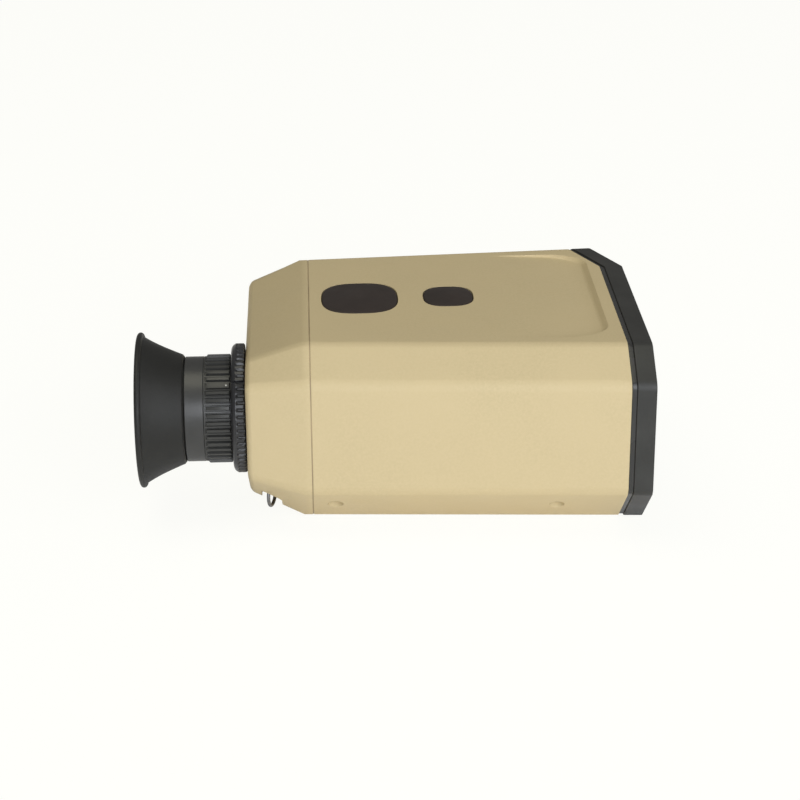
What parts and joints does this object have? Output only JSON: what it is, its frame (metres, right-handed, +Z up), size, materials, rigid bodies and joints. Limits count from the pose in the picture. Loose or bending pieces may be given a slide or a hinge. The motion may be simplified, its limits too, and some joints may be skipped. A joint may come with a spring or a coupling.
{
  "type": "laser rangefinder",
  "caption": "Handheld laser rangefinder with a flared eyepiece on one side of its tapered rear, two keys on top and a dark front bezel over its windows.",
  "frame": {"origin": "middle of the object's box in X and Y, on the plane of its flat base", "axes": "+X towards the target along the optical axes, +Z up, -Y the user's right side, where the eyepiece is"},
  "size_m": [0.129, 0.0917, 0.0512],
  "materials": {
    "sand_paint": "matt sand paint on cast alloy",
    "black_armour": "satin moulded cover",
    "black_rubber": "matt moulded rubber",
    "brown_key": "smooth silicone key",
    "black_metal": "black anodised",
    "steel": "plain machined",
    "brass": "machined",
    "aluminium": "bead blasted",
    "coated_glass": "multi-coated optical glass",
    "board": "solder-masked board",
    "black_part": "moulded",
    "cell_wrap": "printed sleeve, plain"
  },
  "bodies": {
    "housing": {"battery": "cell_wrap", "battery_contact": "board", "battery_seal": "black_rubber", "battery_spring": "steel", "battery_tube": "black_armour", "bezel_screw_far": "steel", "bezel_screw_near": "steel", "button_board": "board", "case_screw_front_far": "steel", "case_screw_front_near": "steel", "case_screw_rear_far": "steel", "case_screw_rear_near": "steel", "chassis": "aluminium", "emitter_window": "coated_glass", "eyepiece_flange": "black_metal", "eyepiece_gasket": "black_rubber", "eyepiece_tube": "black_metal", "front_bezel": "black_armour", "front_gasket": "black_rubber", "half_penta_prism": "coated_glass", "laser_clamp": "black_armour", "laser_diode": "brass", "laser_tube": "black_metal", "main_board": "board", "main_housing": "sand_paint", "measure_switch": "black_part", "mode_switch": "black_part", "objective_lens": "coated_glass", "objective_rear_lens": "coated_glass", "objective_ring": "black_metal", "objective_tube": "black_metal", "objective_window": "coated_glass", "prism_frame": "aluminium", "rear_gasket": "black_rubber", "rear_housing": "sand_paint", "rear_screw_far": "steel", "rear_screw_near": "steel", "receiver_detector": "steel", "receiver_lens": "coated_glass", "receiver_ring": "black_metal", "receiver_tube": "black_metal", "receiver_window": "coated_glass", "reticle_display": "coated_glass", "roof_prism": "coated_glass", "strap_pin_far": "steel", "strap_pin_near": "steel", "tripod_insert": "brass"},
    "diopter": {"diopter_ring": "black_rubber", "diopter_barrel": "black_metal", "eyecup": "black_rubber"},
    "ocular": {"ocular_cell": "aluminium", "eye_lens": "coated_glass", "field_lens": "coated_glass"},
    "measure_key": {"measure_button": "brown_key"},
    "mode_key": {"mode_button": "brown_key"},
    "battery_cover": {"battery_plug": "black_metal"},
    "battery_lock": {"battery_knob": "steel"},
    "near_strap_ring": {"strap_ring_near": "steel"},
    "far_strap_ring": {"strap_ring_far": "steel"}
  },
  "joints": [
    {"name": "diopter_turn", "type": "hinge", "parent": "housing", "child": "diopter", "pos_m": [-0.044, -0.02, 0.0288], "axis": [1, 0, 0], "range_deg": [-110, 110]},
    {"name": "ocular_focus", "type": "slide", "parent": "housing", "child": "ocular", "axis": [1, 0, 0], "range_m": [-0.0009, 0.0009]},
    {"name": "measure_press", "type": "slide", "parent": "housing", "child": "measure_key", "axis": [0, 0, -1], "range_m": [0, 0.0008], "stiffness_N_per_m": 2500, "springref_m": -0.0004},
    {"name": "mode_press", "type": "slide", "parent": "housing", "child": "mode_key", "axis": [0, 0, -1], "range_m": [0, 0.0008], "stiffness_N_per_m": 2500, "springref_m": -0.0004},
    {"name": "battery_cover_slide", "type": "slide", "parent": "housing", "child": "battery_cover", "axis": [-1, 0, 0], "range_m": [0, 0.035]},
    {"name": "battery_lock_turn", "type": "hinge", "parent": "battery_cover", "child": "battery_lock", "pos_m": [-0.033, 0.017, 0.0288], "axis": [1, 0, 0], "range_deg": [0, 90]},
    {"name": "near_ring_swing", "type": "hinge", "parent": "housing", "child": "near_strap_ring", "pos_m": [-0.0312, -0.0235, 0.0076], "axis": [-1, 0, 0], "range_deg": [0, 30]},
    {"name": "far_ring_swing", "type": "hinge", "parent": "housing", "child": "far_strap_ring", "pos_m": [-0.0312, 0.0235, 0.0076], "axis": [1, 0, 0], "range_deg": [0, 30]}
  ],
  "couplings": [
    {"joint": "ocular_focus", "follows": "diopter_turn", "m_per_rad": 0.00046878}
  ]
}
